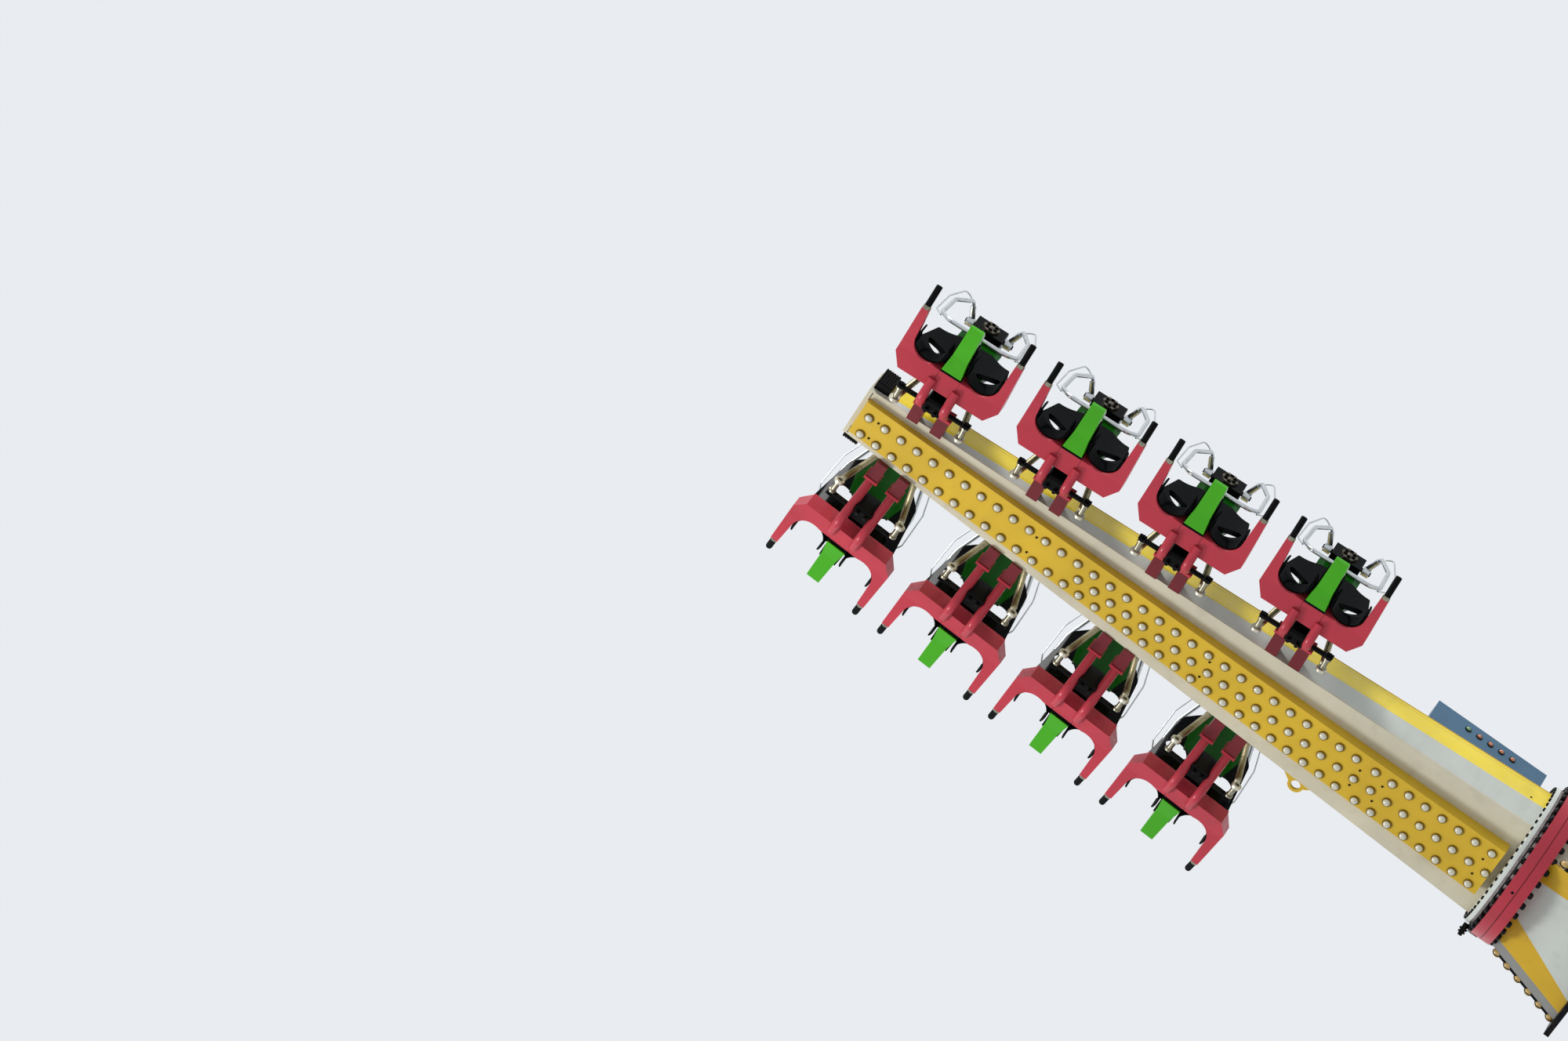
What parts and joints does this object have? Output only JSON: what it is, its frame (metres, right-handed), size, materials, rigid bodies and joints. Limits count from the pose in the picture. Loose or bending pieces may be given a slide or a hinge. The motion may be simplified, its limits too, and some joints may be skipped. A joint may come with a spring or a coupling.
{
  "type": "passenger arm of a flipping fairground ride",
  "caption": "Tapered box arm with back-to-back rows of harnessed seats, rolling on a slewing ring at the end of a main arm.",
  "frame": {"origin": "middle of the splice face, on the roll axis", "axes": "+X out along the arm to its tip, +Z the riders' up, seats face +Y and -Y"},
  "size_m": [4.5655, 2.1938, 1.021],
  "materials": {
    "cream_paint": "semi-gloss enamel",
    "mustard_paint": "semi-gloss enamel",
    "yellow_paint": "gloss enamel",
    "pink_paint": "gloss enamel",
    "green_paint": "gloss enamel",
    "white_paint": "gloss enamel",
    "grey_blue_paint": "satin enamel",
    "black_paint": "satin enamel",
    "bearing_steel": "oiled",
    "bright_steel": "polished",
    "black_shell": "moulded, glossy",
    "black_rubber": "matte"
  },
  "bodies": {
    "main_arm": {"splice_flange": "cream_paint", "main_arm_bottom_plate": "cream_paint", "main_arm_top_plate": "mustard_paint", "main_arm_side_plates": "mustard_paint", "main_arm_edge_rails": "black_paint", "ring_housing_rear": "pink_paint", "ring_housing_front": "pink_paint", "bearing_fixed_ring": "bearing_steel", "ring_sensor": "black_paint"},
    "passenger_arm": {"bearing_moving_ring": "bearing_steel", "arm_flange": "white_paint", "beam_bottom_plate": "cream_paint", "beam_top_plate": "yellow_paint", "beam_left_flank": "yellow_paint", "beam_right_flank": "yellow_paint", "beam_tip_plate": "cream_paint", "lamp_tray": "yellow_paint", "lifting_lug": "yellow_paint", "tip_bumpers": "black_rubber", "control_box": "grey_blue_paint", "seat_brackets": "pink_paint", "carrying_tubes_left": "pink_paint", "carrying_tubes_right": "pink_paint", "seat_frames_left": "pink_paint", "seat_frames_right": "pink_paint", "grip_collars": "bright_steel", "grips": "black_rubber", "seat_shells_left": "black_shell", "seat_shells_right": "black_shell", "seat_horns": "green_paint", "seat_spines": "green_paint", "pivot_housings": "black_paint", "head_plates": "bearing_steel", "lock_cylinders": "bright_steel", "cylinder_lugs": "bright_steel", "lock_boxes": "black_paint"},
    "harness_left_1": {"harness_left_1": "bright_steel"},
    "harness_left_2": {"harness_left_2": "bright_steel"},
    "harness_left_3": {"harness_left_3": "bright_steel"},
    "harness_left_4": {"harness_left_4": "bright_steel"},
    "harness_right_1": {"harness_right_1": "bright_steel"},
    "harness_right_2": {"harness_right_2": "bright_steel"},
    "harness_right_3": {"harness_right_3": "bright_steel"},
    "harness_right_4": {"harness_right_4": "bright_steel"}
  },
  "joints": [
    {"name": "arm_roll", "type": "hinge", "parent": "main_arm", "child": "passenger_arm", "pos_m": [0.6225, 0, 0], "axis": [1, 0, 0], "continuous": true},
    {"name": "harness_left_1_swing", "type": "hinge", "parent": "passenger_arm", "child": "harness_left_1", "pos_m": [2.15112, 0.5292, 0.5], "axis": [0.9985, -0.055, 0], "range_deg": [0, 110]},
    {"name": "harness_left_2_swing", "type": "hinge", "parent": "passenger_arm", "child": "harness_left_2", "pos_m": [2.85007, 0.49073, 0.5], "axis": [0.9985, -0.055, 0], "range_deg": [0, 110]},
    {"name": "harness_left_3_swing", "type": "hinge", "parent": "passenger_arm", "child": "harness_left_3", "pos_m": [3.54901, 0.45227, 0.5], "axis": [0.9985, -0.055, 0], "range_deg": [0, 110]},
    {"name": "harness_left_4_swing", "type": "hinge", "parent": "passenger_arm", "child": "harness_left_4", "pos_m": [4.24795, 0.4138, 0.5], "axis": [0.9985, -0.055, 0], "range_deg": [0, 110]},
    {"name": "harness_right_1_swing", "type": "hinge", "parent": "passenger_arm", "child": "harness_right_1", "pos_m": [2.15112, -0.5292, 0.5], "axis": [-0.9985, -0.055, 0], "range_deg": [0, 110]},
    {"name": "harness_right_2_swing", "type": "hinge", "parent": "passenger_arm", "child": "harness_right_2", "pos_m": [2.85007, -0.49073, 0.5], "axis": [-0.9985, -0.055, 0], "range_deg": [0, 110]},
    {"name": "harness_right_3_swing", "type": "hinge", "parent": "passenger_arm", "child": "harness_right_3", "pos_m": [3.54901, -0.45227, 0.5], "axis": [-0.9985, -0.055, 0], "range_deg": [0, 110]},
    {"name": "harness_right_4_swing", "type": "hinge", "parent": "passenger_arm", "child": "harness_right_4", "pos_m": [4.24795, -0.4138, 0.5], "axis": [-0.9985, -0.055, 0], "range_deg": [0, 110]}
  ]
}
